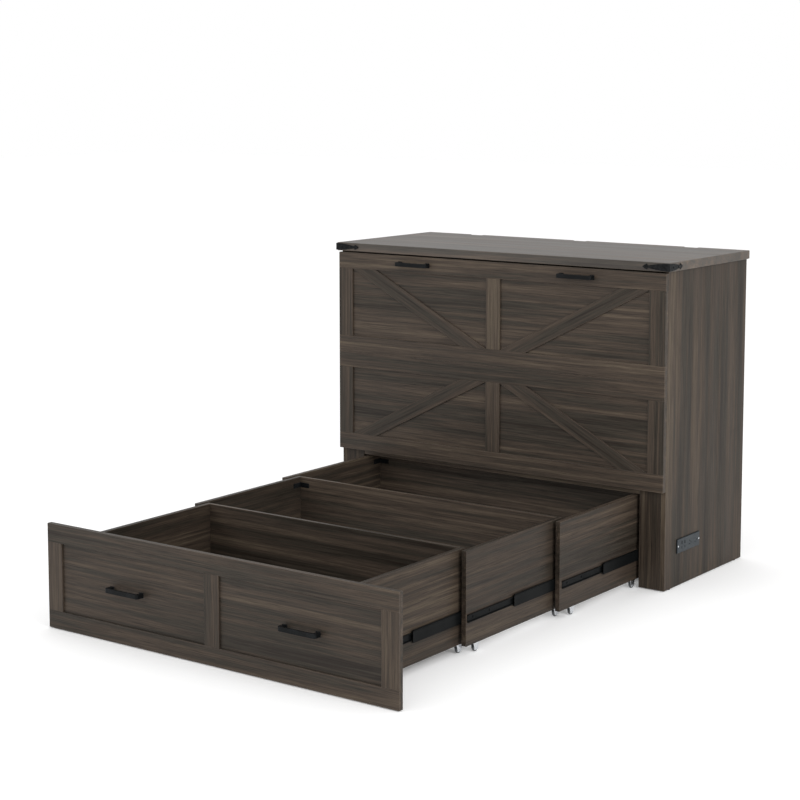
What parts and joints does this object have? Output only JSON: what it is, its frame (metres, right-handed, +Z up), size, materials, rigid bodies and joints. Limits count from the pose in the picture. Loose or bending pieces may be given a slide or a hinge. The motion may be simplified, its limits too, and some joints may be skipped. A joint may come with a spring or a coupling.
{
  "type": "murphy wall bed",
  "caption": "Cabinet wall bed with nested pull-out storage boxes on slides and casters, a fold-down door that makes the platform, and a lift-up lid.",
  "frame": {"origin": "middle of the floor area taken with the boxes pulled out, on the floor", "axes": "+X to the right facing the front's far side, +Y from the drawer front to the back wall, +Z up"},
  "size_m": [1.4994, 2.2702, 1.1975],
  "materials": {
    "dark_laminate": "matt woodgrain laminate",
    "carcass_board": "matt woodgrain laminate",
    "hardboard": "printed hardboard",
    "black_metal": "satin black powder coat",
    "slide_steel": "black zinc",
    "zinc": "bright zinc",
    "wheel_rubber": "smooth",
    "black_plastic": "moulded",
    "outlet_grey": "slate grey"
  },
  "bodies": {
    "cabinet": {"side_panel_left": "dark_laminate", "side_panel_right": "dark_laminate", "front_posts": "dark_laminate", "inner_panels": "carcass_board", "back_panel": "hardboard", "cord_grommet": "black_plastic", "deck_panel": "carcass_board", "deck_rails": "carcass_board", "rear_top_rail": "carcass_board", "floor_glides": "black_plastic", "outlet_body": "black_plastic", "outlet_faceplate": "outlet_grey", "outlet_screws": "zinc", "cabinet_slide_channels": "slide_steel", "lid_hinge_bases": "black_metal", "door_hinge_bases": "black_metal", "door_catches": "black_plastic"},
    "lid": {"lid_panel": "dark_laminate", "lid_corner_brackets": "black_metal", "lid_hinge_leaves": "black_metal"},
    "door": {"door_panel": "dark_laminate", "door_stiles": "dark_laminate", "door_rails": "dark_laminate", "door_braces": "dark_laminate", "door_handles": "black_metal", "door_hinge_leaves": "black_metal", "door_catch_plates": "zinc", "foot_hinge_bases": "black_metal"},
    "foot_panel": {"foot_panel": "dark_laminate", "foot_hinge_leaves": "black_metal"},
    "rear_box": {"rear_box_sides": "dark_laminate", "rear_box_back": "dark_laminate", "rear_box_slide_rails": "slide_steel", "rear_box_caster_forks": "zinc", "rear_box_slide_channels": "slide_steel", "rear_box_corner_braces": "black_metal"},
    "rear_box_slide_middles": {"rear_box_slide_middles": "slide_steel"},
    "rear_box_front_wheels": {"rear_box_front_wheels": "wheel_rubber"},
    "rear_box_rear_wheels": {"rear_box_rear_wheels": "wheel_rubber"},
    "middle_box": {"middle_box_sides": "dark_laminate", "middle_box_back": "dark_laminate", "middle_box_slide_rails": "slide_steel", "middle_box_caster_forks": "zinc", "middle_box_slide_channels": "slide_steel", "middle_box_corner_braces": "black_metal"},
    "middle_box_slide_middles": {"middle_box_slide_middles": "slide_steel"},
    "middle_box_front_wheels": {"middle_box_front_wheels": "wheel_rubber"},
    "middle_box_rear_wheels": {"middle_box_rear_wheels": "wheel_rubber"},
    "front_box": {"front_box_sides": "dark_laminate", "front_box_back": "dark_laminate", "front_box_slide_rails": "slide_steel", "front_box_caster_forks": "zinc", "front_box_bottom": "carcass_board", "drawer_front_panel": "dark_laminate", "drawer_front_rails": "dark_laminate", "drawer_front_stiles": "dark_laminate", "drawer_handles": "black_metal"},
    "front_box_slide_middles": {"front_box_slide_middles": "slide_steel"},
    "front_box_front_wheels": {"front_box_front_wheels": "wheel_rubber"},
    "front_box_rear_wheels": {"front_box_rear_wheels": "wheel_rubber"}
  },
  "joints": [
    {"name": "rear_box_slide", "type": "slide", "parent": "cabinet", "child": "rear_box", "axis": [0, 1, 0], "range_m": [0, 0.5327]},
    {"name": "middle_box_slide", "type": "slide", "parent": "rear_box", "child": "middle_box", "axis": [0, 1, 0], "range_m": [0, 0.5327]},
    {"name": "front_box_slide", "type": "slide", "parent": "middle_box", "child": "front_box", "axis": [0, 1, 0], "range_m": [0, 0.5327]},
    {"name": "rear_slide_middles_run", "type": "slide", "parent": "cabinet", "child": "rear_box_slide_middles", "axis": [0, 1, 0], "range_m": [0, 0.26635]},
    {"name": "middle_slide_middles_run", "type": "slide", "parent": "rear_box", "child": "middle_box_slide_middles", "axis": [0, 1, 0], "range_m": [0, 0.26635]},
    {"name": "front_slide_middles_run", "type": "slide", "parent": "middle_box", "child": "front_box_slide_middles", "axis": [0, 1, 0], "range_m": [0, 0.26635]},
    {"name": "door_fold", "type": "hinge", "parent": "cabinet", "child": "door", "pos_m": [0, 0.50305, 0.374], "axis": [1, 0, 0], "range_deg": [0, 90]},
    {"name": "foot_panel_unfold", "type": "hinge", "parent": "door", "child": "foot_panel", "pos_m": [0, 0.51405, 1.161], "axis": [1, 0, 0], "range_deg": [0, 180]},
    {"name": "lid_lift", "type": "hinge", "parent": "cabinet", "child": "lid", "pos_m": [0, 1.12905, 1.1915], "axis": [-1, 0, 0], "range_deg": [0, 90]},
    {"name": "rear_box_front_wheels_roll", "type": "hinge", "parent": "rear_box", "child": "rear_box_front_wheels", "pos_m": [0, 0.07405, 0.011], "axis": [1, 0, 0], "continuous": true},
    {"name": "rear_box_rear_wheels_roll", "type": "hinge", "parent": "rear_box", "child": "rear_box_rear_wheels", "pos_m": [0, 0.50135, 0.011], "axis": [1, 0, 0], "continuous": true},
    {"name": "middle_box_front_wheels_roll", "type": "hinge", "parent": "middle_box", "child": "middle_box_front_wheels", "pos_m": [0, -0.47395, 0.011], "axis": [1, 0, 0], "continuous": true},
    {"name": "middle_box_rear_wheels_roll", "type": "hinge", "parent": "middle_box", "child": "middle_box_rear_wheels", "pos_m": [0, 0.02205, 0.011], "axis": [1, 0, 0], "continuous": true},
    {"name": "front_box_front_wheels_roll", "type": "hinge", "parent": "front_box", "child": "front_box_front_wheels", "pos_m": [0, -1.02205, 0.011], "axis": [1, 0, 0], "continuous": true},
    {"name": "front_box_rear_wheels_roll", "type": "hinge", "parent": "front_box", "child": "front_box_rear_wheels", "pos_m": [0, -0.52505, 0.011], "axis": [1, 0, 0], "continuous": true}
  ],
  "couplings": [
    {"joint": "rear_slide_middles_run", "follows": "rear_box_slide", "ratio": 0.5},
    {"joint": "middle_slide_middles_run", "follows": "middle_box_slide", "ratio": 0.5},
    {"joint": "front_slide_middles_run", "follows": "front_box_slide", "ratio": 0.5},
    {"joint": "foot_panel_unfold", "follows": "door_fold", "ratio": 2},
    {"joint": "lid_lift", "follows": "door_fold", "ratio": 1}
  ]
}
